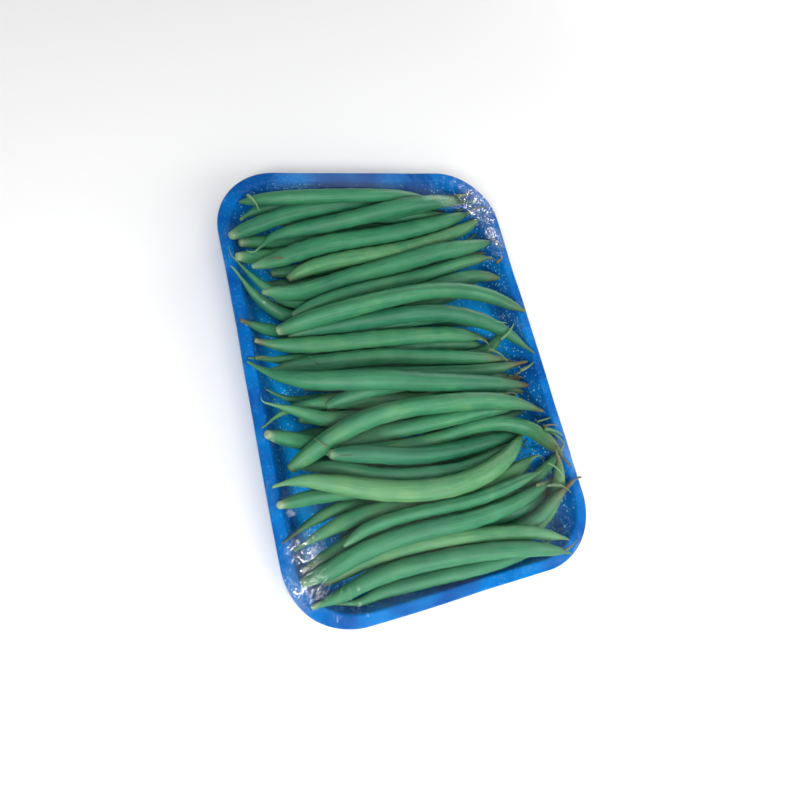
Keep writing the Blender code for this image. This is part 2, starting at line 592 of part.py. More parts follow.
def build_film(placed):
    """Clear film over the beans and the rim, turned under the base."""
    x, y = film_grid(*FILM_CELLS)
    z = stretch_film(x, y, placed)
    bm = bmesh.new()
    verts = [[bm.verts.new((x[i, j] * MM, y[i, j] * MM, z[i, j] * MM)) for j in range(x.shape[1])]
             for i in range(x.shape[0])]
    for i in range(FILM_CELLS[0]):
        for j in range(FILM_CELLS[1]):
            bm.faces.new((verts[i][j], verts[i + 1][j], verts[i + 1][j + 1], verts[i][j + 1]))
    border = grid_border(*FILM_CELLS)
    rings = [[verts[i][j] for i, j in border]]
    base_inset = LIP + WALL_RUN - FOAM - 1.0
    skirt = (
        (-0.25, RIM_TOP - 0.7),
        (-GAP - 0.2, RIM_TOP - LIP_DROP - FOAM),
        (base_inset * 0.5, FILM + 0.5 * (RIM_TOP - LIP_DROP - FOAM) - 1.0),
        (base_inset - 0.6, FILM + 1.2),
        (base_inset + 0.8, FILM),
        (base_inset + HEM, FILM),
    )
    edge_x, edge_y, edge_corner = ring_size(LIP_ROUND)
    for inset, height in skirt:
        half_x, half_y, corner = ring_size(inset)
        ring = []
        for i, j in border:
            px, py = x[i, j], y[i, j]
            in_x = np.clip(px, edge_corner - edge_x, edge_x - edge_corner) / (edge_x - edge_corner)
            in_y = np.clip(py, edge_corner - edge_y, edge_y - edge_corner) / (edge_y - edge_corner)
            out_x = (px - in_x * (edge_x - edge_corner)) / edge_corner
            out_y = (py - in_y * (edge_y - edge_corner)) / edge_corner
            new_x = in_x * (half_x - corner) + out_x * corner
            new_y = in_y * (half_y - corner) + out_y * corner
            ring.append(bm.verts.new((new_x * MM, new_y * MM, height * MM)))
        rings.append(ring)
    for upper, lower in zip(rings, rings[1:]):
        count = len(upper)
        for k in range(count):
            m = (k + 1) % count
            bm.faces.new((upper[k], lower[k], lower[m], upper[m]))
    return shell("film", bm, FILM, 1.0, material("film_clear", FILM_CLEAR, 0.08, 0.25))


clear_scene()
parts = bpy.data.collections.new("green_bean_bundle")
bpy.context.scene.collection.children.link(parts)
build_tray()
stacks, trails = lay_beans()
for number, stack in enumerate(stacks, 1):
    bean_name = f"bean_{number:02d}"
    build_bean(bean_name, stack, material(bean_name, BEAN_GREEN, 0.45))
build_film(trails)
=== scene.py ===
"""Green beans in a blue foam tray under clear stretch film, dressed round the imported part."""

import math
import random

import bpy
import numpy as np
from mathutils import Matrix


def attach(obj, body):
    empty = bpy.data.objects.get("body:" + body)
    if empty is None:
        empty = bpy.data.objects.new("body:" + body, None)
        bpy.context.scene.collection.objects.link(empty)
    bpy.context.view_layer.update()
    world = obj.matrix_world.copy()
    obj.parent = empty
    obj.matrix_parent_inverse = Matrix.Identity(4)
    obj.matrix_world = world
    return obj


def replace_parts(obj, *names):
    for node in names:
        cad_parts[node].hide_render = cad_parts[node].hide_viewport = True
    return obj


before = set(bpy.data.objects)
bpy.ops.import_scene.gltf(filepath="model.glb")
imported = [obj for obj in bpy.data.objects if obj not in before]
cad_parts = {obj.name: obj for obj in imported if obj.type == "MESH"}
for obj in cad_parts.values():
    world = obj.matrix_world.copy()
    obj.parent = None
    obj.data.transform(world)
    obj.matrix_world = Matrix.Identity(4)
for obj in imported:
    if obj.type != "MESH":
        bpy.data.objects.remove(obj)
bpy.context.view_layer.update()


# The tray is blown polystyrene sheet, coloured in the mass and pressed hot over
# a mould. It has a flat floor, sloping walls that the mould leaves finely
# fluted at their foot, and a lip all round that is rolled outwards.
MM = 0.001
TRAY_WIDTH = 146.0
TRAY_LENGTH = 210.0
FLOOR_TOP = 3.7
RIM_TOP = 19.9
FOAM = 2.8
LIP = 5.0
WALL_RUN = 7.5
RIM_CORNER = 30.0
FLOOR_CORNER = 22.0

# The flutes' pitch and depth, where they start and stop above the floor and
# over what height they fade, and how much each drifts from its place
FLUTE_PITCH = 2.1
FLUTE_DEPTH = 0.16
FLUTE_START = 1.5
FLUTE_TOP = 12.5
FLUTE_FADE = 6.0
FLUTE_DRIFT = 0.35

# How far the lip is drawn in at most, and how far down the wall that reaches
LIP_WAVE = 0.8
LIP_WAVE_REACH = 6.0
LIP_WAVE_FADE = 5.0

# Places round the tray at which the drift, the flutes' depth and the lip's
# wave are drawn by chance
DRIFTS = 90
DEPTHS = 70
WAVES = 44

# The swept part of the tray reaches this far in, with points this far apart
# across it and along its sides; the rest of the floor is one flat face
SWEPT = 30.0
SECTION_STEP = 1.2
RIM_STEP = 0.6
CORNER_POINTS = 70

# The foam's cells are 0.2 to 0.4 mm wide, too fine to show, so the dents that
# they leave in the skin and the glints from them are drawn coarser. The glints
# are painted highlights: pale flecks put into the foam's colour
CELL = 1.3
CELL_DENT = 0.12
GLINT_PITCH = 1.4
PATCH = 18.0

# The painted glints fade out over this height below the rim. The brighter blue
# painted towards the floor, for light that falls there, starts this far below it
GLINT_FADE = 5.0
FLOOR_LIGHT_START = 9.0

TRAY_BLUE = "#0074c2"
TRAY_BLUE_DEEP = "#00509c"
# A brighter blue painted towards the floor for the light that falls on it: painted light
FLOOR_BLUE_PAINTED_LIGHT = "#00a0f2"
# Pale cyan painted into the foam's colour as its cells' glints: a painted highlight
PAINTED_GLINT_COLOUR = "#a6ecff"


def linear(hex_colour):
    """An sRGB hex colour as linear red, green, blue and full alpha."""
    parts = [int(hex_colour[i:i + 2], 16) / 255 for i in (1, 3, 5)]
    return [p / 12.92 if p <= 0.04045 else ((p + 0.055) / 1.055) ** 2.4 for p in parts] + [1.0]


def add(finish, kind, values=None, feeds=None, **settings):
    """Add a node to a finish: its settings, its plain values, and what feeds its sockets."""
    node = finish.node_tree.nodes.new(kind)
    for name, value in settings.items():
        setattr(node, name, value)
    for socket, value in (values or {}).items():
        node.inputs[socket].default_value = value
    for socket, source in (feeds or {}).items():
        finish.node_tree.links.new(source, node.inputs[socket])
    return node


def new_finish(name):
    """An empty finish with its output, ready for nodes."""
    finish = bpy.data.materials.new(name)
    finish.use_nodes = True
    finish.node_tree.nodes.clear()
    return finish, finish.node_tree.nodes.new("ShaderNodeOutputMaterial")


def piece_from(name, spots, faces, finish):
    """A smooth-shaded piece from points in millimetres and faces."""
    mesh = bpy.data.meshes.new(name)
    mesh.from_pydata((np.asarray(spots) * MM).tolist(), [], faces)
    mesh.materials.append(finish)
    mesh.shade_smooth()
    piece = bpy.data.objects.new(name, mesh)
    bpy.context.scene.collection.objects.link(piece)
    return piece


def band_faces(rows, columns, first=0):
    """Faces between rows of points, each row closed round."""
    faces = []
    for i in range(rows - 1):
        for j in range(columns):
            k = (j + 1) % columns
            a = first + i * columns
            faces.append((a + j, a + k, a + columns + k, a + columns + j))
    return faces


def capped(faces, first, count, columns):
    """The same faces with the first and the last row of points closed."""
    last = first + count - columns
    return faces + [tuple(range(first, first + columns))[::-1], tuple(range(last, last + columns))]


def run_along(points):
    """Distance along a line at each of its points."""
    return np.concatenate([[0.0], np.cumsum(np.linalg.norm(np.diff(points, axis=0), axis=1))])


def spread(values, along):
    """Values spread evenly over a line and read off at each of its points."""
    return np.interp(along, np.linspace(0, along[-1] + 1, len(values)), values)


def rounded(corners):
    """A line through corners, each given with the radius that rounds it."""
    points = [corners[0][:2]]
    for (ax, ay, _), (bx, by, radius), (cx, cy, _) in zip(corners, corners[1:], corners[2:]):
        turn = np.array([bx, by])
        back = np.array([ax - bx, ay - by]) / math.hypot(ax - bx, ay - by)
        on = np.array([cx - bx, cy - by]) / math.hypot(cx - bx, cy - by)
        half = 0.5 * math.acos(max(-1.0, min(1.0, float(back @ on))))
        reach = radius / math.tan(half)
        start = turn + back * reach
        end = turn + on * reach
        for t in np.linspace(0.0, 1.0, 7):
            points.append(tuple((1 - t) ** 2 * start + 2 * t * (1 - t) * turn + t ** 2 * end))
    return np.array(points + [corners[-1][:2]])


def finer(line, step):
    """The same line with a point at least every step."""
    points = [line[0]]
    for a, b in zip(line, line[1:]):
        count = max(1, int(math.ceil(np.hypot(*(b - a)) / step)))
        points += [a + (b - a) * k / count for k in range(1, count + 1)]
    return np.array(points)


def corner_at(inset):
    """Radius of the tray's corners at a distance in from its outer edge."""
    return RIM_CORNER + (FLOOR_CORNER - RIM_CORNER) * min(inset / (LIP + WALL_RUN), 1.0)


def round_the_rim(inset):
    """Points round the tray at a distance in from its outer edge."""
    corner = corner_at(inset)
    half_x = TRAY_WIDTH / 2 - inset
    half_y = TRAY_LENGTH / 2 - inset
    side_points = [int((length - 2 * RIM_CORNER) / RIM_STEP) for length in (TRAY_WIDTH, TRAY_LENGTH)]
    points = []
    for turn, (sx, sy) in enumerate(((1, 1), (-1, 1), (-1, -1), (1, -1))):
        centre = np.array([sx * (half_x - corner), sy * (half_y - corner)])
        for t in np.linspace(0.0, 1.0, CORNER_POINTS, endpoint=False):
            angle = 0.5 * math.pi * (turn + t)
            points.append(centre + corner * np.array([math.cos(angle), math.sin(angle)]))
        angle = 0.5 * math.pi * (turn + 1)
        start = centre + corner * np.array([math.cos(angle), math.sin(angle)])
        reach = 2 * ((half_x if turn % 2 == 0 else half_y) - corner)
        way = np.array([math.cos(angle + 0.5 * math.pi), math.sin(angle + 0.5 * math.pi)])
        for t in np.linspace(0.0, 1.0, side_points[turn % 2], endpoint=False):
            points.append(start + way * reach * t)
    return np.array(points)


def tray_finish():
    """Blown polystyrene foam, pressed: a mottled satin skin, its cells' glints painted in as pale flecks,
    and light painted in as a brighter blue towards the floor.
    """
    finish, out = new_finish("blue_blown_polystyrene_pressed")
    place = add(finish, "ShaderNodeTexCoord")
    at = {"Vector": place.outputs["Object"]}
    where = add(finish, "ShaderNodeSeparateXYZ", feeds=at)
    cells = add(finish, "ShaderNodeTexVoronoi", {"Scale": 1 / (CELL * MM)}, at)
    patches = add(finish, "ShaderNodeTexNoise", {"Scale": 1 / (PATCH * MM), "Detail": 3.0}, at)
    specks = add(finish, "ShaderNodeTexVoronoi",
                 {"Scale": 1 / (GLINT_PITCH * MM), "Randomness": 1.0}, at)

    # Chance picks the cells that get a painted glint, more of them in some patches
    drift = add(finish, "ShaderNodeMath", {1: 1.6, 2: -0.8}, {0: patches.outputs["Fac"]},
                operation="MULTIPLY_ADD")
    chance = add(finish, "ShaderNodeSeparateColor", feeds={"Color": specks.outputs["Color"]})
    luck = add(finish, "ShaderNodeMath",
               feeds={0: chance.outputs["Red"], 1: drift.outputs["Value"]}, operation="ADD")
    chosen = add(finish, "ShaderNodeMapRange", {"From Min": 0.15, "From Max": 0.8},
                 {"Value": luck.outputs["Value"]})

    # A painted glint is a pale dot in its cell, put only where the tray faces up and below the lip, where a
    # highlight would fall
    dot = add(finish, "ShaderNodeMapRange", {"From Min": 0.36, "From Max": 0.18},
              {"Value": specks.outputs["Distance"]})
    facing = add(finish, "ShaderNodeSeparateXYZ", feeds={"Vector": place.outputs["Normal"]})
    inside = add(finish, "ShaderNodeMapRange", {"From Min": 0.0, "From Max": 0.2},
                 {"Value": facing.outputs["Z"]})
    low = add(finish, "ShaderNodeMapRange",
              {"From Min": RIM_TOP * MM, "From Max": (RIM_TOP - GLINT_FADE) * MM, "To Min": 0.12},
              {"Value": where.outputs["Z"]})
    glint = dot.outputs["Result"]
    for share in (inside, chosen, low):
        dimmed = add(finish, "ShaderNodeMath", feeds={0: glint, 1: share.outputs["Result"]},
                     operation="MULTIPLY")
        glint = dimmed.outputs["Value"]
    painted_glint_share = add(finish, "ShaderNodeMath", {1: 0.8}, {0: glint}, operation="MULTIPLY")

    # The blue is mottled, and made brighter towards the floor: painted light
    soft = add(finish, "ShaderNodeMapRange", {"From Min": 0.36, "From Max": 0.66},
               {"Value": patches.outputs["Fac"]})
    blue = add(finish, "ShaderNodeMix", {"A": linear(TRAY_BLUE_DEEP), "B": linear(TRAY_BLUE)},
               {"Factor": soft.outputs["Result"]}, data_type="RGBA")
    painted_floor_light = add(finish, "ShaderNodeMapRange",
               {"From Min": (RIM_TOP - FLOOR_LIGHT_START) * MM, "From Max": (FLOOR_TOP + 1.0) * MM},
               {"Value": where.outputs["Z"]})
    blue_with_painted_light = add(finish, "ShaderNodeMix", {"B": linear(FLOOR_BLUE_PAINTED_LIGHT)},
                {"Factor": painted_floor_light.outputs["Result"], "A": blue.outputs["Result"]}, data_type="RGBA")
    # Painted highlights: the glints are mixed into the base colour as pale cyan flecks
    with_painted_glints = add(finish, "ShaderNodeMix", {"B": linear(PAINTED_GLINT_COLOUR)},
                  {"Factor": painted_glint_share.outputs["Value"], "A": blue_with_painted_light.outputs["Result"]}, data_type="RGBA")

    gloss = add(finish, "ShaderNodeMapRange", {"To Min": 0.24, "To Max": 0.42},
                {"Value": patches.outputs["Fac"]})
    dents = add(finish, "ShaderNodeBump", {"Strength": 0.5, "Distance": CELL_DENT * MM},
                {"Height": cells.outputs["Distance"]})
    foam = add(finish, "ShaderNodeBsdfPrincipled",
               {"IOR": 1.5, "Metallic": 0.0, "Specular IOR Level": 0.06},
               {"Base Color": with_painted_glints.outputs["Result"], "Roughness": gloss.outputs["Result"],
                "Normal": dents.outputs["Normal"]})
    finish.node_tree.links.new(foam.outputs["BSDF"], out.inputs["Surface"])
    return finish


def make_tray():
    """The tray's section swept round, with flutes pressed into the foot of its wall."""
    base = FLOOR_TOP - FOAM
    foot = LIP + WALL_RUN
    lean = math.hypot(WALL_RUN, RIM_TOP - FLOOR_TOP)
    out_x = FOAM * (RIM_TOP - FLOOR_TOP) / lean
    out_z = FOAM * WALL_RUN / lean
    per_mm = WALL_RUN / (RIM_TOP - FLOOR_TOP)
    under_lip = foot - out_x - (RIM_TOP - FOAM - FLOOR_TOP + out_z) * per_mm
    outer_foot = foot - out_x + (FLOOR_TOP - out_z - base) * per_mm
    # Each corner of the section: how far in, how high, and the radius that rounds it
    section = finer(rounded([
        (SWEPT, FLOOR_TOP, 0.0), (foot, FLOOR_TOP, 4.0), (LIP, RIM_TOP, 1.4), (0.0, RIM_TOP, 1.3),
        (0.0, RIM_TOP - FOAM, 1.2), (under_lip, RIM_TOP - FOAM, 0.8), (outer_foot, base, 3.0),
        (SWEPT, base, 0.0)]), SECTION_STEP)
    height = section[:, 1]
    plans = [round_the_rim(inset) for inset in section[:, 0]]
    rows = np.array([np.column_stack([plan, np.full(len(plan), z)]) for plan, z in zip(plans, height)])

    edge = round_the_rim(0.0)
    along = run_along(edge)
    inward = -edge / np.linalg.norm(edge, axis=1)[:, None]
    draw = np.random.default_rng(5)
    drift = spread(np.cumsum(draw.normal(0, FLUTE_DRIFT, DRIFTS)), along)
    depth = FLUTE_DEPTH * spread(draw.uniform(0.1, 1.0, DEPTHS), along)
    flute = depth * np.cos(2 * math.pi * along / FLUTE_PITCH + drift)
    upper_side = np.arange(len(section)) < np.argmax(height >= RIM_TOP - 0.01)
    on_wall = np.clip((height - FLOOR_TOP) / FLUTE_START, 0, 1)
    on_wall *= np.clip((FLOOR_TOP + FLUTE_TOP - height) / FLUTE_FADE, 0, 1) * upper_side

    # The lip isn't quite straight: the film draws it in here and there
    wave = spread(draw.uniform(0.0, LIP_WAVE, WAVES), along)
    even = np.hanning(41) / np.hanning(41).sum()
    wave = np.convolve(np.concatenate([wave[-20:], wave, wave[:20]]), even, "valid")
    near_lip = np.clip((height - (RIM_TOP - LIP_WAVE_REACH)) / LIP_WAVE_FADE, 0, 1)
    push = on_wall[:, None] * flute + near_lip[:, None] * wave
    rows[:, :, :2] += push[:, :, None] * inward

    columns = len(edge)
    faces = capped(band_faces(len(rows), columns), 0, rows.shape[0] * columns, columns)
    piece = piece_from("foam_tray", rows.reshape(-1, 3), [f[::-1] for f in faces], tray_finish())
    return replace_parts(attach(piece, "root"), "tray")


make_tray()


# The beans are fresh pods, picked and laid crosswise. Each has a waxy green
# skin over shallow bumps where its seeds sit, a seam down both sides, and
# either the stalk, a trimmed blunt end, or the thin dry tail of the flower.
BEANS = 58
ROUND_A_BEAN = 24
ALONG_A_BEAN = 72

# Seeds lie this far apart and swell the pod by this share, but not within the
# next length of an end, growing to their full size over the one after
SEED_APART = 9.5
SEED_SWELL = 0.065
SEEDLESS = 8.0
SEEDS_GROW = 10.0

# Each bean's solid has rings of this many corners, and ends no wider than
# this. Its pod is fuller in radius by SNUG, so that neighbours sit snug
SOLID_CORNERS = 8
WIDEST_END = 9.0
SNUG = 0.3

# The seam and the line across from it: their half width in radians, how deep
# the seam is pressed in, and how dark each is
SEAM_WIDE = 0.16
SEAM_GROOVE = 0.06
SEAM_DARK = 0.45
VEIN_DARK = 0.2

# A left end is cut across where it is more than this share of its pod's
# thickness, and it is a dry tail where it is less than the second share
CUT_SHARE = 0.3
TAIL_SHARE = 0.2

# How much a pod narrows to a cut, and over what length; then the rings that
# close the cut, each as how far out it is and how wide, in the pod's radius
CUT_NARROWS = 0.3
CUT_TAPER = 8.0
CUT_RINGS = ((0.34, 0.3), (0.3, 0.62), (0.16, 0.87))

# Dry tails at left ends and stalks at right ends: shortest and longest, and
# the room that each needs to the tray. A pod narrows to its stalk's radius
TAIL_LENGTHS = (5, 9)
TAIL_THICK = 0.4
STALK_LENGTHS = (4, 11)
STALK_THICK = 0.7
STALK_RADIUS = 1.0
STALK_TAPER = 5.0

# How far rust reaches in from each end, and pale flesh from a cut or a tail
LEFT_RUST_REACH = 3.0
RIGHT_RUST_REACH = 8.0
PALE_FROM_CUT = 1.0
PALE_FROM_TAIL = 4.0

# Where the top of the lip lies, in from the tray's outer edge
LIP_ROUND = 1.5

# The fibres in a pod's skin are about 0.1 mm wide, too fine to show, so they
# are drawn coarser: streaks this long, and this many to a radian round the pod.
# The lighter streaks also stand for highlights along the pods' ridges: painted highlights
STREAK = 9.0
STREAKS_ROUND = 3.2
SKIN_CLOUD = 13.0

GREEN_BLUISH = "#1f6a4b"
GREEN_MIDDLE = "#368058"
GREEN_YELLOWISH = "#629660"
GREEN_SEAM = "#1b5437"
PALE_FLESH = "#93a884"
RUST = "#5f4a2c"

# Of beans that stand out in the heap: how far each is from blue-green (0) to
# yellow-green (1), and how browned its left and its right end are
RIPENESS = {
    7: (0.35, 0.0, 0.2), 8: (0.30, 0.0, 0.2), 12: (0.35, 0.1, 0.6), 13: (0.40, 0.1, 0.3),
    16: (0.25, 0.9, 0.2), 19: (0.35, 0.0, 0.9), 21: (0.60, 0.2, 0.4), 28: (0.10, 0.0, 0.3),
    29: (0.75, 0.0, 0.6), 30: (0.35, 0.0, 0.9), 31: (0.30, 0.3, 0.1), 32: (0.18, 0.1, 0.7),
    33: (0.20, 0.8, 0.7), 34: (0.26, 0.0, 0.8), 35: (0.75, 0.0, 0.2), 36: (0.34, 0.0, 0.3),
    38: (0.34, 0.0, 0.2), 39: (0.15, 0.0, 0.3), 40: (0.55, 1.0, 0.2), 41: (0.45, 0.2, 0.5),
    42: (0.45, 0.2, 1.0), 43: (0.50, 0.0, 0.7), 44: (0.40, 0.0, 0.5), 45: (0.25, 0.0, 0.9),
    46: (0.60, 0.0, 0.2), 47: (0.45, 0.1, 0.3), 48: (0.55, 0.0, 0.5), 49: (0.55, 0.0, 0.8),
    50: (0.65, 0.0, 0.2), 51: (0.10, 0.0, 0.2), 52: (0.35, 0.0, 0.2), 53: (0.60, 0.0, 0.2),
    54: (0.80, 0.0, 0.1), 55: (0.40, 0.0, 0.2), 56: (0.75, 0.1, 0.1), 57: (0.35, 0.0, 0.2),
    58: (0.35, 0.1, 0.1),
}

# Of the left ends that show, how far the cut face or the dry end is pale
PALE_ENDS = {9: 0.6, 10: 0.6, 16: 0.1, 24: 0.9, 25: 0.5, 36: 0.35, 38: 0.3, 40: 0.5, 41: 0.9,
             42: 0.7, 45: 0.2, 47: 0.8, 49: 0.3, 54: 0.35, 57: 0.5}


def rings_of(node):
    """Centre and radius of each ring of a bean's solid, in millimetres, left to right."""
    mesh = node.data
    raw = np.zeros(len(mesh.vertices) * 3)
    mesh.vertices.foreach_get("co", raw)
    spots, same = np.unique(np.round(raw.reshape(-1, 3) / MM, 3), axis=0, return_inverse=True)
    same = same.ravel()
    near = [set() for _ in spots]
    flats = {}
    for face in mesh.polygons:
        corners = [int(same[v]) for v in face.vertices]
        for a in corners:
            near[a].update(corners)
        key = tuple(np.round(face.normal, 2)) + (round(float(face.normal @ face.center) / MM, 1),)
        flats.setdefault(key, set()).update(corners)
    ends = []
    for corners in flats.values():
        wide = np.ptp(spots[list(corners)], axis=0).max()
        if len(corners) == SOLID_CORNERS and wide < WIDEST_END:
            ends.append((spots[list(corners)].mean(axis=0)[0], corners))
    ends.sort(key=lambda end: end[0])
    ring = ends[0][1]
    seen = set(ring)
    rings = []
    while ring:
        centre = spots[list(ring)].mean(axis=0)
        rings.append((*centre, np.linalg.norm(spots[list(ring)] - centre, axis=1).mean()))
        ring = set().union(*(near[a] for a in ring)) - seen
        seen |= ring
    return np.array(rings)


def smooth_line(given, shares):
    """Rows at shares of the length of a smooth curve through the given rows."""
    knots = run_along(given[:, :3])
    slope = np.zeros_like(given)
    step = np.diff(knots)[:, None]
    rise = np.diff(given, axis=0) / step
    slope[1:-1] = (rise[:-1] * step[1:] + rise[1:] * step[:-1]) / (step[1:] + step[:-1])
    slope[0] = 1.5 * rise[0] - 0.5 * slope[1]
    slope[-1] = 1.5 * rise[-1] - 0.5 * slope[-2]
    for k in range(1, len(given) - 1):
        if rise[k - 1, 3] * rise[k, 3] <= 0:
            slope[k, 3] = 0.0
    want = shares * knots[-1]
    i = np.clip(np.searchsorted(knots, want, side="right") - 1, 0, len(step) - 1)
    t = ((want - knots[i]) / step[i, 0])[:, None]
    h = step[i]
    return ((2 * t ** 3 - 3 * t ** 2 + 1) * given[i] + (t ** 3 - 2 * t ** 2 + t) * h * slope[i]
            + (3 * t ** 2 - 2 * t ** 3) * given[i + 1] + (t ** 3 - t ** 2) * h * slope[i + 1])


def across_a_line(line, roll):
    """Two directions square to a line at each point, carried along it without twist."""
    ahead = np.gradient(line, axis=0)
    ahead /= np.linalg.norm(ahead, axis=1)[:, None]
    side = np.cross(ahead[0], (0.0, 0.0, 1.0))
    first = []
    for way in ahead:
        side = side - way * (side @ way)
        side /= np.linalg.norm(side)
        first.append(side)
    first = np.array(first)
    second = np.cross(ahead, first)
    turn = roll[:, None]
    return first * np.cos(turn) + second * np.sin(turn), second * np.cos(turn) - first * np.sin(turn), ahead


def bean_skin():
    """Fresh pod skin: waxy and satin, a cooler or yellower green from pod to pod, browned at dry ends."""
    finish, out = new_finish("fresh_pod_skin_waxy")
    place = add(finish, "ShaderNodeTexCoord")
    tint = add(finish, "ShaderNodeAttribute", attribute_name="tint")
    parts = add(finish, "ShaderNodeSeparateColor", feeds={"Color": tint.outputs["Color"]})
    spot = add(finish, "ShaderNodeAttribute", attribute_name="on_the_pod")
    cloud = add(finish, "ShaderNodeTexNoise",
                {"Scale": 1 / (SKIN_CLOUD * MM), "Detail": 3.0, "Roughness": 0.6},
                {"Vector": place.outputs["Object"]})
    fibres = add(finish, "ShaderNodeTexNoise", {"Scale": 1.0, "Detail": 3.0, "Roughness": 0.6},
                 {"Vector": spot.outputs["Vector"]})

    # The pod's own ripeness, shifted by clouds in the skin and by its fibres
    shift = add(finish, "ShaderNodeMath", {1: 1.0, 2: -0.5}, {0: cloud.outputs["Fac"]},
                operation="MULTIPLY_ADD")
    drift = add(finish, "ShaderNodeMath", {1: 0.6, 2: -0.3}, {0: fibres.outputs["Fac"]},
                operation="MULTIPLY_ADD")
    both = add(finish, "ShaderNodeMath",
               feeds={0: shift.outputs["Value"], 1: drift.outputs["Value"]}, operation="ADD")
    ripe = add(finish, "ShaderNodeMath", feeds={0: parts.outputs["Red"], 1: both.outputs["Value"]},
               operation="ADD", use_clamp=True)
    green = add(finish, "ShaderNodeValToRGB", feeds={"Fac": ripe.outputs["Value"]})
    ramp = green.color_ramp
    ramp.elements[0].color = linear(GREEN_BLUISH)
    ramp.elements[1].color = linear(GREEN_YELLOWISH)
    ramp.elements.new(0.5).color = linear(GREEN_MIDDLE)

    # Rust in patches at a dry end, and pale flesh at a cut one
    patchy = add(finish, "ShaderNodeMapRange",
                 {"From Min": 0.25, "From Max": 0.75, "To Min": 0.45, "To Max": 1.5},
                 {"Value": cloud.outputs["Fac"]})
    brown = add(finish, "ShaderNodeMath",
                feeds={0: parts.outputs["Green"], 1: patchy.outputs["Result"]},
                operation="MULTIPLY", use_clamp=True)
    browned = add(finish, "ShaderNodeMix", {"B": linear(RUST)},
                  {"Factor": brown.outputs["Value"], "A": green.outputs["Color"]}, data_type="RGBA")
    fleshy = add(finish, "ShaderNodeMix", {"B": linear(PALE_FLESH)},
                 {"Factor": parts.outputs["Blue"], "A": browned.outputs["Result"]}, data_type="RGBA")

    # Lighter and darker streaks along the pod, for its fibres and in part painted highlights along its
    # ridges, and the darker seams
    drawn = add(finish, "ShaderNodeVectorMath", {1: (0.4, 1.9, 1.9)}, {0: spot.outputs["Vector"]},
                operation="MULTIPLY")
    streaks = add(finish, "ShaderNodeTexNoise", {"Scale": 1.0, "Detail": 2.0, "Roughness": 0.5},
                  {"Vector": drawn.outputs["Vector"]})
    fibre_and_highlight_streaks = add(finish, "ShaderNodeMapRange",
                  {"From Min": 0.3, "From Max": 0.7, "To Min": 0.85, "To Max": 1.13},
                  {"Value": streaks.outputs["Fac"]})
    lined = add(finish, "ShaderNodeHueSaturation",
                feeds={"Value": fibre_and_highlight_streaks.outputs["Result"], "Color": fleshy.outputs["Result"]})
    seamed = add(finish, "ShaderNodeMix", {"B": linear(GREEN_SEAM)},
                 {"Factor": tint.outputs["Alpha"], "A": lined.outputs["Color"]}, data_type="RGBA")

    gloss = add(finish, "ShaderNodeMapRange", {"To Min": 0.42, "To Max": 0.62},
                {"Value": cloud.outputs["Fac"]})
    grain = add(finish, "ShaderNodeBump", {"Strength": 0.35, "Distance": 0.15 * MM},
                {"Height": fibres.outputs["Fac"]})
    wax = add(finish, "ShaderNodeBsdfPrincipled",
              {"IOR": 1.45, "Metallic": 0.0, "Subsurface Weight": 0.08, "Subsurface Scale": 0.8 * MM,
               "Subsurface Radius": (0.5, 1.0, 0.35), "Coat Weight": 0.06, "Coat Roughness": 0.35},
              {"Base Color": seamed.outputs["Result"], "Roughness": gloss.outputs["Result"],
               "Normal": grain.outputs["Normal"]})
    finish.node_tree.links.new(wax.outputs["BSDF"], out.inputs["Surface"])
    return finish


def tint_the_skin(piece, tints, pod_spots):
    """Give a piece the two attributes that its skin's colour is worked out from."""
    tint = piece.data.attributes.new("tint", "FLOAT_COLOR", "POINT")
    tint.data.foreach_set("color", np.array(tints, dtype=np.float32).ravel())
    pod = piece.data.attributes.new("on_the_pod", "FLOAT_VECTOR", "POINT")
    pod.data.foreach_set("vector", np.array(pod_spots, dtype=np.float32).ravel())


def out_of_rim(x, y, inset):
    """Distance outside (or, below zero, inside) the tray's outline at an inset."""
    corner = corner_at(inset)
    past_x = np.abs(x) - (TRAY_WIDTH / 2 - inset - corner)
    past_y = np.abs(y) - (TRAY_LENGTH / 2 - inset - corner)
    outside = np.hypot(np.maximum(past_x, 0.0), np.maximum(past_y, 0.0))
    return outside + np.minimum(np.maximum(past_x, past_y), 0.0) - corner


def drawn_out(start, way, length, bend, thick):
    """Points of a thin stalk or dry tail that goes on from a pod in a curl, up to the wall."""
    way = way / np.linalg.norm(way)
    side = np.cross((0.0, 0.0, 1.0), way)
    points = [start]
    angle = 0.0
    steps = 9
    step = length / steps
    for k in range(steps):
        angle += bend * step * (0.4 + 0.2 * k)
        ahead = math.cos(angle) * way + math.sin(angle) * side
        ahead[2] *= 0.5
        spot = points[-1] + ahead * step
        up = min(max((spot[2] - thick - FLOOR_TOP) / (RIM_TOP - FLOOR_TOP), 0.0), 1.0)
        inset = LIP + WALL_RUN * (1 - up) if up < 1.0 else LIP_ROUND
        if out_of_rim(spot[0], spot[1], inset) + thick > -0.4:
            break
        points.append(spot)
    return points[1:]


def pod_radius(along, radius, cut, draw):
    """A pod's radius: swollen over its seeds, drawn in to a cut end and to its stalk."""
    length = along[-1]
    to_end = np.minimum(along, length - along)
    seeds = 0.5 + 0.5 * np.cos(2 * math.pi * (along / SEED_APART + draw.random()))
    swell = SEED_SWELL * draw.uniform(0.4, 1.0) * np.clip((to_end - SEEDLESS) / SEEDS_GROW, 0, 1)
    radius = (radius + SNUG * np.clip(radius - 1.0, 0, 1)) * (1 - swell * (1 - seeds))
    if cut:
        radius *= 1 - CUT_NARROWS * np.exp(-along / CUT_TAPER)
    if radius[-1] > STALK_RADIUS:
        narrowing = np.exp(-((length - along) / STALK_TAPER) ** 1.3)
        radius *= 1 - (1 - STALK_RADIUS / radius[-1]) * narrowing
    return radius


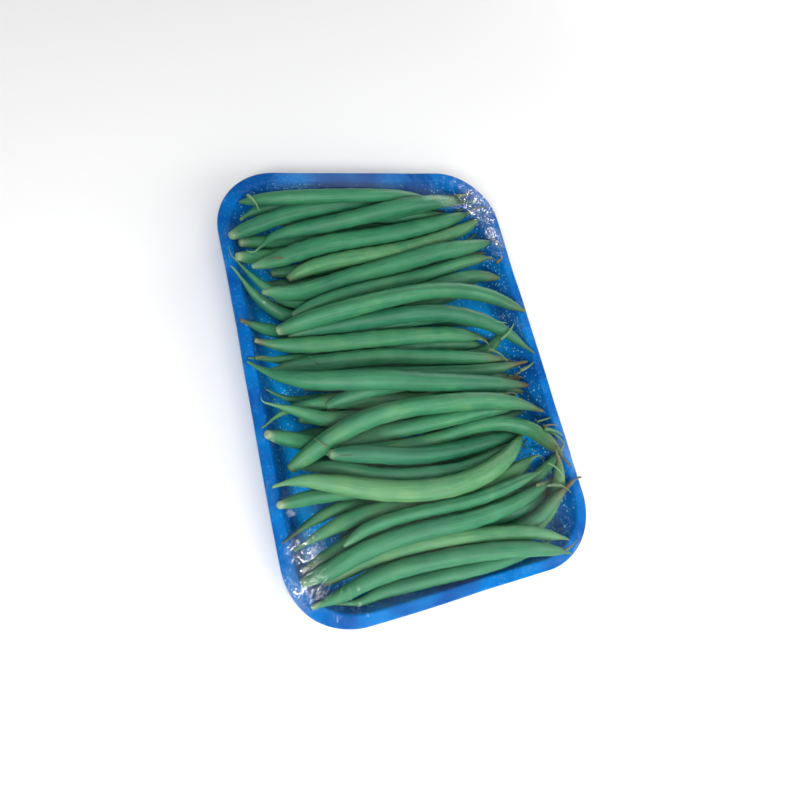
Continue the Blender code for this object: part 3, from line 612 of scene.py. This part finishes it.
def make_bean(number, skin):
    """One pod along its solid's line, with its seeds, seams and ends."""
    name = f"bean_{number:02d}"
    given = rings_of(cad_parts[name])
    draw = random.Random(number)
    left = given[0, 3] / given[:, 3].max()
    cut = left > CUT_SHARE
    even = np.linspace(0.0, 1.0, ALONG_A_BEAN)
    close = 0.06 * np.linspace(0, 1, 9) ** 1.5
    rows = smooth_line(given, np.unique(np.concatenate([even, close, 1 - close])))
    line = rows[:, :3]
    along = run_along(line)
    length = along[-1]
    radius = pod_radius(along, rows[:, 3], cut, draw)
    roll = draw.uniform(0, 2 * math.pi) + draw.uniform(-1.2, 1.2) * along / length
    first, second, ahead = across_a_line(line, roll)

    # Round the pod: a little flat, with a grooved seam and a fainter one across from it
    turn = np.linspace(0, 2 * math.pi, ROUND_A_BEAN, endpoint=False)
    flat = 1 - draw.uniform(0.04, 0.14) * np.sin(turn) ** 2
    seam = np.exp(-((turn - math.pi) / SEAM_WIDE) ** 2)
    vein = np.exp(-(np.minimum(turn, 2 * math.pi - turn) / SEAM_WIDE) ** 2)
    shape = flat * (1 - SEAM_GROOVE * seam)
    dark = SEAM_DARK * seam + VEIN_DARK * vein
    ripe, left_rust, right_rust = RIPENESS.get(
        number, (draw.uniform(0.2, 0.6), draw.uniform(0, 0.3), draw.uniform(0.1, 0.6)))
    pale_left = PALE_ENDS.get(number, draw.uniform(0.1, 0.5) if cut else 0.25)
    spots, tints, pod_spots, taken = [], [], [], []

    def ring(centre, size, row, pale=0.0, dry=0.0):
        """A ring of points, each with its place on the pod and its tint."""
        taken.append((*centre, size))
        rust = left_rust * math.exp(-max(along[row] - 1.0, 0.0) / LEFT_RUST_REACH)
        rust += right_rust * math.exp(-max(length - along[row] - 3.0, 0.0) / RIGHT_RUST_REACH) + dry
        for k, angle in enumerate(turn):
            across = math.cos(angle) * first[row] + math.sin(angle) * second[row]
            spots.append(centre + size * shape[k] * across)
            tints.append((ripe, min(rust, 0.9), pale, dark[k] * (1 - pale)))
            pod_spots.append((along[row] / STREAK + number * 7.0,
                              STREAKS_ROUND * math.cos(angle), STREAKS_ROUND * math.sin(angle)))

    # The left end: a dry tail that curls away, or the blunt face of a cut
    if left < TAIL_SHARE:
        tail = drawn_out(line[0], -ahead[0], draw.uniform(*TAIL_LENGTHS),
                         draw.choice((-1, 1)) * draw.uniform(0.1, 0.35), TAIL_THICK)
        for k, spot in reversed(list(enumerate(tail))):
            ring(spot, radius[0] * (1.0 - 0.085 * k) * 0.8, 0, 0.4)
    else:
        for beyond, share in CUT_RINGS:
            ring(line[0] - ahead[0] * beyond * radius[0], radius[0] * share, 0, pale_left)

    # The pod itself, its green fading to pale flesh near the left end
    last = len(line) - 1
    fade = PALE_FROM_CUT if cut else PALE_FROM_TAIL
    for row in range(last + 1):
        ring(line[row], radius[row], row, pale_left * math.exp(-max(along[row] - 0.4, 0.0) / fade))

    # The right end: a curved stalk, widest where it joins and again where it broke off
    bend = draw.choice((-1, -1, 1)) * draw.uniform(0.02, 0.16)
    stalk = drawn_out(line[-1], ahead[-1], draw.uniform(*STALK_LENGTHS), bend, STALK_THICK)
    for k, spot in enumerate(stalk):
        size = radius[-1] * (0.62 - 0.02 * k + 0.5 * math.exp(-(k / 0.8) ** 2))
        ring(spot, size * (1.25 if k == len(stalk) - 1 else 1.0), last, 0.1, 0.25)
    ring(taken[-1][:3] + ahead[-1] * 0.3 * taken[-1][3], taken[-1][3] * 0.6, last, 0.2, 0.25)

    faces = capped(band_faces(len(taken), ROUND_A_BEAN), 0, len(spots), ROUND_A_BEAN)
    piece = piece_from(f"pod_{number:02d}", spots, faces, skin)
    tint_the_skin(piece, tints, pod_spots)
    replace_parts(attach(piece, "root"), name)
    return np.array(taken)


skin = bean_skin()
pods = [make_bean(number, skin) for number in range(1, BEANS + 1)]


# Thin tails and stalks that have broken off lie loose where the pods end,
# most of them at the right. They are dry and fibrous, olive and brown.
TAILS_AT_RIGHT = 34
TAILS_AT_LEFT = 12
TAIL_SIDES = 8
TAIL_POINTS = 13

# Shortest and longest, thinnest and thickest, at the right and at the left
RIGHT_LENGTHS = (5.0, 14.0)
RIGHT_RADII = (0.35, 1.0)
LEFT_LENGTHS = (4.0, 8.0)
LEFT_RADII = (0.25, 0.45)

# The tightest radius that a tail bends to over what it lies on, and the room
# that it keeps from the lip
TAIL_BEND = 22.0
TAIL_ROOM = 1.5

# The first pods lie on the floor, out of sight, with no loose tails at their ends
FLOOR_PODS = 6

lying = np.vstack(pods)


def carried_at(x, y):
    """Height of what lies at plan points: pods, or else the tray."""
    inside = -out_of_rim(x, y, 0.0)
    height = np.interp(inside, [LIP, LIP + WALL_RUN], [RIM_TOP, FLOOR_TOP])
    for k in range(len(x)):
        away = (lying[:, 0] - x[k]) ** 2 + (lying[:, 1] - y[k]) ** 2
        under = away < lying[:, 3] ** 2
        if under.any():
            top = lying[under, 2] + np.sqrt(lying[under, 3] ** 2 - away[under])
            height[k] = max(height[k], top.max())
    return height


def make_loose_tails():
    """All the loose tails as one piece, each laid over what carries it; they join the pods' list."""
    draw = random.Random(31)
    spots, faces, tints, pod_spots = [], [], [], []
    for k in range(TAILS_AT_RIGHT + TAILS_AT_LEFT):
        at_right = k < TAILS_AT_RIGHT
        host = pods[draw.randrange(FLOOR_PODS, BEANS)]
        x0, y0 = (host[-4] if at_right else host[4])[:2]
        length = draw.uniform(*(RIGHT_LENGTHS if at_right else LEFT_LENGTHS))
        thick = draw.uniform(*(RIGHT_RADII if at_right else LEFT_RADII))
        heading = draw.uniform(-0.9, 0.5) + (0.0 if at_right else math.pi)
        curl = draw.uniform(-0.09, 0.09)
        run = np.linspace(0.0, length, TAIL_POINTS)
        outward = draw.uniform(-3, 2) * (1 if at_right else -1)
        x = x0 + outward + np.cumsum(np.cos(heading + curl * run)) * run[1]
        y = y0 + draw.uniform(-4, 4) + np.cumsum(np.sin(heading + curl * run)) * run[1]
        if out_of_rim(x, y, LIP_ROUND + TAIL_ROOM).max() > 0:
            continue
        rest = carried_at(x, y) + thick
        z = (rest[None] - (run[:, None] - run[None]) ** 2 / (2 * TAIL_BEND)).max(axis=1)
        line = np.column_stack([x, y, z])
        size = thick * (1 - 0.75 * (run / length) ** 1.5)
        first, second, _ = across_a_line(line, np.zeros(TAIL_POINTS))
        start = len(spots)
        tint = (draw.uniform(0.2, 0.9), draw.uniform(0.0, 0.9), draw.uniform(0.0, 0.15), 0.0)
        for i in range(TAIL_POINTS):
            for j in range(TAIL_SIDES):
                angle = 2 * math.pi * j / TAIL_SIDES
                across = math.cos(angle) * first[i] + math.sin(angle) * second[i]
                spots.append(line[i] + size[i] * across)
                tints.append(tint)
                pod_spots.append((run[i] / STREAK + k * 5.0, math.cos(angle), math.sin(angle)))
        tail = band_faces(TAIL_POINTS, TAIL_SIDES, start)
        faces += capped(tail, start, TAIL_POINTS * TAIL_SIDES, TAIL_SIDES)
        pods.append(np.column_stack([line, size]))
    piece = piece_from("loose_tails", spots, faces, skin)
    tint_the_skin(piece, tints, pod_spots)
    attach(piece, "root")


make_loose_tails()


# The film is clear stretch wrap, drawn tight over the beans and the lip and
# turned under the tray. It touches only the highest pods and the rim, and
# it gathers in fine folds at the corners, which catch the light.
FILM = 0.08
FILM_LIFT = 0.25
FILM_BEND = 45.0
RIM_SLOPE = 0.35
HEM_INSET = 34.0
HEM_DROP = 0.5

# The film's corners are drawn in a little tighter than the lip's
CORNER_DRAWN_IN = 0.8

# What lies under the film lifts it over a little more plan than it covers, and
# over this much at least, so that the grid misses no thin tail
LIFT_BEYOND = 0.6
LIFT_AT_LEAST = 2.2

# The grid on which the film is drawn tight: its step, the height over the rim
# that it starts from, how often it is drawn, and how eagerly each time
MESH_STEP = 1.25
START_OVER_RIM = 6.0
TIGHTENINGS = 700
EAGERNESS = 1.7

# Cells of the film's own mesh across the tray and along it
CELLS_ACROSS = 112
CELLS_ALONG = 160

# Gathers fan out at the corners, from a centre this far in and between these
# distances from it. They are wide and fine, so many to a full turn, and higher
# at the corners where the film is crumpled
GATHER_CENTRE = 32.0
GATHER_START = 8.0
GATHER_END = 31.0
WIDE_GATHERS = 30
FINE_GATHERS = 47
GATHER_HIGH = 0.75
GATHER_LOW = 0.25

# Between the corners the film ripples along the rim, this high and this far apart
RIM_RIPPLE = 0.14
RIM_RIPPLE_PITCH = 4.6

# Places round the side at which the depth of its folds is drawn by chance
SIDE_FOLDS = 150

# Slack waves in the tight film, and the crumple of gathered film, in pitch
# and in height
SLACK_PITCH = 7.0
SLACK_HEIGHT = 0.25
CRUMPLE_PITCH = 6.0
CRUMPLE_HEIGHT = 3.0

# Places in plan where the gathered film is crumpled, with their reach, the
# height that it lies at there, and what its layers add to its gleam
CRUMPLED = (((61.0, 80.0), 17.0), ((66.0, 62.0), 10.0), ((-66.0, -82.0), 13.0), ((-64.0, -70.0), 10.0))
CRUMPLED_AT = 24
FILM_LAYERS = 0.09


def heap_top(x, y):
    """Height of the pods' upper surface over a square grid of plan points."""
    height = np.zeros((len(x), len(y)))
    for rows in pods:
        for px, py, pz, radius in rows:
            wide = max(radius + FILM_LIFT + LIFT_BEYOND, LIFT_AT_LEAST)
            i0, i1 = np.searchsorted(x, (px - wide, px + wide))
            j0, j1 = np.searchsorted(y, (py - wide, py + wide))
            away = (x[i0:i1, None] - px) ** 2 + (y[None, j0:j1] - py) ** 2
            rise = pz + radius + FILM_LIFT - wide + np.sqrt(np.maximum(wide ** 2 - away, 0.0))
            part = height[i0:i1, j0:j1]
            np.maximum(part, np.where(away < wide ** 2, rise, 0.0), out=part)
    return height


def drawn_tight():
    """Heights of the film over a square grid: taut between the pods and the rim."""
    x = np.arange(-TRAY_WIDTH / 2, TRAY_WIDTH / 2 + 0.01, MESH_STEP)
    y = np.arange(-TRAY_LENGTH / 2, TRAY_LENGTH / 2 + 0.01, MESH_STEP)
    gx, gy = np.meshgrid(x, y, indexing="ij")
    beyond = out_of_rim(gx, gy, LIP_ROUND)
    edge = beyond > 0
    rim = RIM_TOP + FILM_LIFT
    bottom = heap_top(x, y)
    bottom = np.where(out_of_rim(gx, gy, LIP) > 0, np.maximum(bottom, rim), bottom)

    # The film bends no tighter than its radius over the pods, and comes down
    # to the rim at its own slope
    bent = bottom
    for line in (x, y):
        droop = (line[:, None] - line[None, :]) ** 2 / (2 * FILM_BEND)
        bent = (bent[None] - droop[:, :, None]).max(axis=1).T
    bottom = np.maximum(bottom, np.minimum(bent, rim - RIM_SLOPE * beyond))

    # Each point goes to the mean of its neighbours, in the two colours of a
    # chessboard by turns, but never under what carries it
    height = np.maximum(bottom, rim + START_OVER_RIM)
    height[edge] = bottom[edge]
    i, j = np.meshgrid(np.arange(len(x)), np.arange(len(y)), indexing="ij")
    inner = np.zeros_like(edge)
    inner[1:-1, 1:-1] = ~edge[1:-1, 1:-1]
    for _ in range(TIGHTENINGS):
        for colour in (0, 1):
            mean = height.copy()
            mean[1:-1, 1:-1] = 0.25 * (
                height[:-2, 1:-1] + height[2:, 1:-1] + height[1:-1, :-2] + height[1:-1, 2:])
            pick = inner & ((i + j) % 2 == colour)
            height[pick] = np.maximum(bottom[pick], height[pick] + EAGERNESS * (mean[pick] - height[pick]))
    return x, y, height


def film_finish():
    """Clear stretch wrap: nothing of its own but a mirror-like gleam that grows at a slant."""
    finish, out = new_finish("clear_stretch_wrap")
    place = add(finish, "ShaderNodeTexCoord")
    at = {"Vector": place.outputs["Object"]}
    ripples = add(finish, "ShaderNodeTexNoise",
                  {"Scale": 1 / (SLACK_PITCH * MM), "Detail": 2.0, "Distortion": 0.6}, at)
    slack = add(finish, "ShaderNodeBump", {"Strength": 0.5, "Distance": SLACK_HEIGHT * MM},
                {"Height": ripples.outputs["Fac"]})

    # How crumpled the film is: 1 in the middle of each crumpled place, 0 past its reach
    creased = None
    for (x, y), reach in CRUMPLED:
        gap = add(finish, "ShaderNodeVectorMath", {1: (x * MM, y * MM, CRUMPLED_AT * MM)},
                  {0: place.outputs["Object"]}, operation="DISTANCE")
        near = add(finish, "ShaderNodeMapRange", {"From Min": reach * MM, "From Max": 0.3 * reach * MM},
                   {"Value": gap.outputs["Value"]}, interpolation_type="SMOOTHSTEP").outputs["Result"]
        if creased is not None:
            near = add(finish, "ShaderNodeMath", feeds={0: creased, 1: near},
                       operation="MAXIMUM").outputs["Value"]
        creased = near
    crumple = add(finish, "ShaderNodeTexNoise",
                  {"Scale": 1 / (CRUMPLE_PITCH * MM), "Detail": 2.0, "Distortion": 1.2}, at)
    rough = add(finish, "ShaderNodeMath", feeds={0: crumple.outputs["Fac"], 1: creased},
                operation="MULTIPLY")
    waves = add(finish, "ShaderNodeBump", {"Strength": 1.0, "Distance": CRUMPLE_HEIGHT * MM},
                {"Height": rough.outputs["Value"], "Normal": slack.outputs["Normal"]})

    # The share of gleam: faint head on, more at a slant, and more where layers gather
    slant = add(finish, "ShaderNodeLayerWeight", {"Blend": 0.5}, {"Normal": waves.outputs["Normal"]})
    steep = add(finish, "ShaderNodeMath", {1: 5.0}, {0: slant.outputs["Facing"]}, operation="POWER")
    alone = add(finish, "ShaderNodeMapRange", {"To Min": 0.003, "To Max": 0.1},
                {"Value": steep.outputs["Value"]})
    share = add(finish, "ShaderNodeMath", {1: FILM_LAYERS}, {0: creased, 2: alone.outputs["Result"]},
                operation="MULTIPLY_ADD")
    clear = add(finish, "ShaderNodeBsdfTransparent", {"Color": (1.0, 1.0, 1.0, 1.0)})
    gleam = add(finish, "ShaderNodeBsdfGlossy", {"Color": (1.0, 1.0, 1.0, 1.0), "Roughness": 0.12},
                {"Normal": waves.outputs["Normal"]})
    mixed = add(finish, "ShaderNodeMixShader",
                feeds={0: share.outputs["Value"], 1: clear.outputs["BSDF"], 2: gleam.outputs["BSDF"]})
    finish.node_tree.links.new(mixed.outputs["Shader"], out.inputs["Surface"])
    return finish


def make_film():
    """The film's top over the heap, its side round the lip and its hem under the base."""
    half_x, half_y = TRAY_WIDTH / 2 - LIP_ROUND, TRAY_LENGTH / 2 - LIP_ROUND
    corner = RIM_CORNER - CORNER_DRAWN_IN

    # A square grid in rings, turned to the rounded outline of the lip
    u, v = np.meshgrid(np.linspace(-1, 1, CELLS_ACROSS + 1), np.linspace(-1, 1, CELLS_ALONG + 1),
                       indexing="ij")
    ring = np.maximum(np.abs(u), np.abs(v))
    safe = np.where(ring > 0, ring, 1.0)
    x, y = np.abs(u) / safe * half_x, np.abs(v) / safe * half_y
    past_x, past_y = x - (half_x - corner), y - (half_y - corner)
    turned = (past_x > 0) & (past_y > 0)
    stretch = corner / np.where(turned, np.hypot(past_x, past_y), 1.0)
    x = np.sign(u) * ring * np.where(turned, half_x - corner + past_x * stretch, x)
    y = np.sign(v) * ring * np.where(turned, half_y - corner + past_y * stretch, y)

    # Its heights, read off the grid that was drawn tight
    gx, gy, tight = drawn_tight()
    fi = np.clip((x - gx[0]) / MESH_STEP, 0, len(gx) - 1.001)
    fj = np.clip((y - gy[0]) / MESH_STEP, 0, len(gy) - 1.001)
    i, j = fi.astype(int), fj.astype(int)
    a, b = fi - i, fj - j
    z = ((1 - a) * (1 - b) * tight[i, j] + a * (1 - b) * tight[i + 1, j]
         + (1 - a) * b * tight[i, j + 1] + a * b * tight[i + 1, j + 1])

    # Gathers that fan out at the corners
    round_x = np.abs(x) - (TRAY_WIDTH / 2 - GATHER_CENTRE)
    round_y = np.abs(y) - (TRAY_LENGTH / 2 - GATHER_CENTRE)
    away = np.hypot(np.maximum(round_x, 0), np.maximum(round_y, 0))
    fan = np.arctan2(np.maximum(round_y, 0), np.maximum(round_x, 0)) + 0.05 * np.sin(away / 2.0)
    gather = np.clip((away - GATHER_START) / 8.0, 0, 1) * np.clip((GATHER_END - away) / 6.0, 0, 1)
    gather *= (round_x > 0) & (round_y > 0)
    high = np.where(x * y > 0, GATHER_HIGH, GATHER_LOW)
    wide_folds = np.sin(WIDE_GATHERS * fan + np.sign(x) * 1.7)
    z += gather * high * (wide_folds + 0.6 * np.sin(FINE_GATHERS * fan + np.sign(y) * 2.3))

    # Ripples between the corners, just inside the lip
    beside = np.where(past_x > past_y, y, x)
    at_rim = np.clip((ring - 0.87) / 0.06, 0, 1) * np.clip((1.0 - ring) / 0.02, 0, 1) * (1 - gather)
    z += RIM_RIPPLE * at_rim * np.sin(2 * math.pi * beside / RIM_RIPPLE_PITCH + 2.5 * np.sin(beside / 9.0))
    spots = [np.column_stack([x.ravel(), y.ravel(), z.ravel()])]
    tall = CELLS_ALONG + 1
    faces = [(p * tall + q, (p + 1) * tall + q, (p + 1) * tall + q + 1, p * tall + q + 1)
             for p in range(CELLS_ACROSS) for q in range(CELLS_ALONG)]

    # The border of the top, once round, and the way out of the tray at each of its points
    border = [(p, 0) for p in range(CELLS_ACROSS)] + [(CELLS_ACROSS, q) for q in range(CELLS_ALONG)]
    border += [(p, CELLS_ALONG) for p in range(CELLS_ACROSS, 0, -1)]
    border += [(0, q) for q in range(CELLS_ALONG, 0, -1)]
    rim = [p * tall + q for p, q in border]
    edge = spots[0][rim][:, :2]
    count = len(rim)
    straight = np.array([half_x - corner, half_y - corner])
    outward = edge - np.clip(edge, -straight, straight)
    flat = np.hypot(*outward.T) < 1e-6
    outward[flat] = edge[flat]
    outward /= np.hypot(*outward.T)[:, None]

    # The side and the hem: each row's inset and height, and how deep its folds are
    draw = np.random.default_rng(9)
    folds = spread(draw.uniform(-1, 1, SIDE_FOLDS), run_along(edge))
    base = FLOOR_TOP - FOAM
    wall = LIP + WALL_RUN - FOAM
    side = [(0.3, RIM_TOP + 0.1, 0.0), (-0.35, RIM_TOP - 0.7, 0.05), (-0.45, RIM_TOP - 2.2, 0.1),
            (0.2, RIM_TOP - 4.0, 0.25), (0.3 * wall, RIM_TOP - 7.0, 0.35),
            (0.5 * wall, RIM_TOP - 10.5, 0.35), (0.7 * wall, RIM_TOP - 13.5, 0.3),
            (0.86 * wall, base + 1.6, 0.2), (0.97 * wall, base + 0.1, 0.1),
            (wall + 1.5, base - 0.45, 0.05), (wall + 10.0, base - HEM_DROP, 0.03),
            (HEM_INSET, base - HEM_DROP, 0.02)]
    start = len(spots[0])
    for inset, height, fold in side:
        moved = edge + outward * (LIP_ROUND - inset + fold * (folds - 1.0))[:, None]
        spots.append(np.column_stack([moved, np.full(count, height)]))
    rows = [rim] + [list(range(start + k * count, start + (k + 1) * count)) for k in range(len(side))]
    for upper, lower in zip(rows, rows[1:]):
        faces += [(upper[k], lower[k], lower[(k + 1) % count], upper[(k + 1) % count])
                  for k in range(count)]
    piece = piece_from("stretch_film", np.vstack(spots), faces, film_finish())
    gauge = piece.modifiers.new("gauge", "SOLIDIFY")
    gauge.thickness = FILM * MM
    gauge.offset = 0.0
    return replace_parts(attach(piece, "root"), "film")


make_film()


# The table and the light: a pale matt sheet, and the soft lamps and open pale
# surroundings of a small studio. Two lamps stand over the near side, one is
# overhead and two are at the right.
PAPER_WHITE = "#f4f4f4"
PAPER_REACH = 3000.0
STUDIO_LIGHT = 0.32

# Each lamp's place and what it is turned to, in metres, its width and its power
LAMPS = {
    "near_left_lamp": ((-0.36, -0.4, 0.53), (0, -0.03, 0.02), 0.15, 2.8),
    "wide_near_lamp": ((0.05, -0.52, 0.4), (0, -0.05, 0.02), 0.4, 1.35),
    "lamp_overhead": ((-0.02, -0.2, 0.62), (0, -0.04, 0.02), 0.45, 1.25),
    "right_lamp": ((0.45, -0.25, 0.36), (0.05, -0.04, 0.01), 0.3, 1.25),
    "far_right_lamp": ((0.5, 0.48, 0.17), (0.05, 0.06, 0.02), 0.22, 1.3),
}


def make_paper_floor():
    """A sheet of white paper, matt and uncoated, that reaches out of view under everything."""
    finish, out = new_finish("pale_matt_paper")
    paper = add(finish, "ShaderNodeBsdfPrincipled", {"Base Color": linear(PAPER_WHITE), "Roughness": 0.9})
    finish.node_tree.links.new(paper.outputs["BSDF"], out.inputs["Surface"])
    corners = [(sx * PAPER_REACH, sy * PAPER_REACH, 0) for sx, sy in ((-1, -1), (1, -1), (1, 1), (-1, 1))]
    piece_from("paper_floor", corners, [(0, 1, 2, 3)], finish)


def soft_lamp(name, place, target, width, power):
    """A square lamp at a place in metres, turned to its target."""
    lamp = bpy.data.lights.new(name, "AREA")
    lamp.size = width
    lamp.energy = power
    holder = bpy.data.objects.new(name, lamp)
    holder.location = place
    way = np.array(target) - np.array(place)
    holder.rotation_euler = (math.acos(way[2] / np.linalg.norm(way)) + math.pi, 0.0,
                             math.atan2(way[1], way[0]) + math.pi / 2)
    bpy.context.scene.collection.objects.link(holder)


make_paper_floor()
for name, (place, target, width, power) in LAMPS.items():
    soft_lamp(name, place, target, width, power)
world = bpy.data.worlds.new("pale_studio")
world.use_nodes = True
surroundings = world.node_tree.nodes["Background"]
surroundings.inputs["Color"].default_value = (1.0, 1.0, 1.0, 1.0)
surroundings.inputs["Strength"].default_value = STUDIO_LIGHT
bpy.context.scene.world = world
bpy.context.scene.view_settings.view_transform = "Standard"


# The camera stands over the near left corner and looks down, turned as the
# photograph is. Its focal length is given in pixels of that photograph.
AZIMUTH, ELEVATION, ROLL = (math.radians(a) for a in (-58.255, 65.242, 46.701))
AIM = (-0.007895, -0.015931, RIM_TOP * MM)
AWAY = 0.245141
SENSOR = 36.0
FOCAL_PIXELS = 542.61
PHOTO_PIXELS = 800

back = np.array([math.sin(AZIMUTH) * math.cos(ELEVATION), -math.cos(AZIMUTH) * math.cos(ELEVATION),
                 math.sin(ELEVATION)])
right = np.cross((0.0, 0.0, 1.0), back)
right /= np.linalg.norm(right)
up = np.cross(back, right)
across = math.cos(ROLL) * right + math.sin(ROLL) * up
upward = -math.sin(ROLL) * right + math.cos(ROLL) * up
stand = np.array(AIM) + back * AWAY
lens = bpy.data.cameras.new("camera")
lens.sensor_width = SENSOR
lens.lens = SENSOR * FOCAL_PIXELS / PHOTO_PIXELS
lens.clip_start = 0.01
camera = bpy.data.objects.new("camera", lens)
camera.matrix_world = [[*across, 0.0], [*upward, 0.0], [*back, 0.0], [*stand, 1.0]]
bpy.context.scene.collection.objects.link(camera)
bpy.context.scene.camera = camera
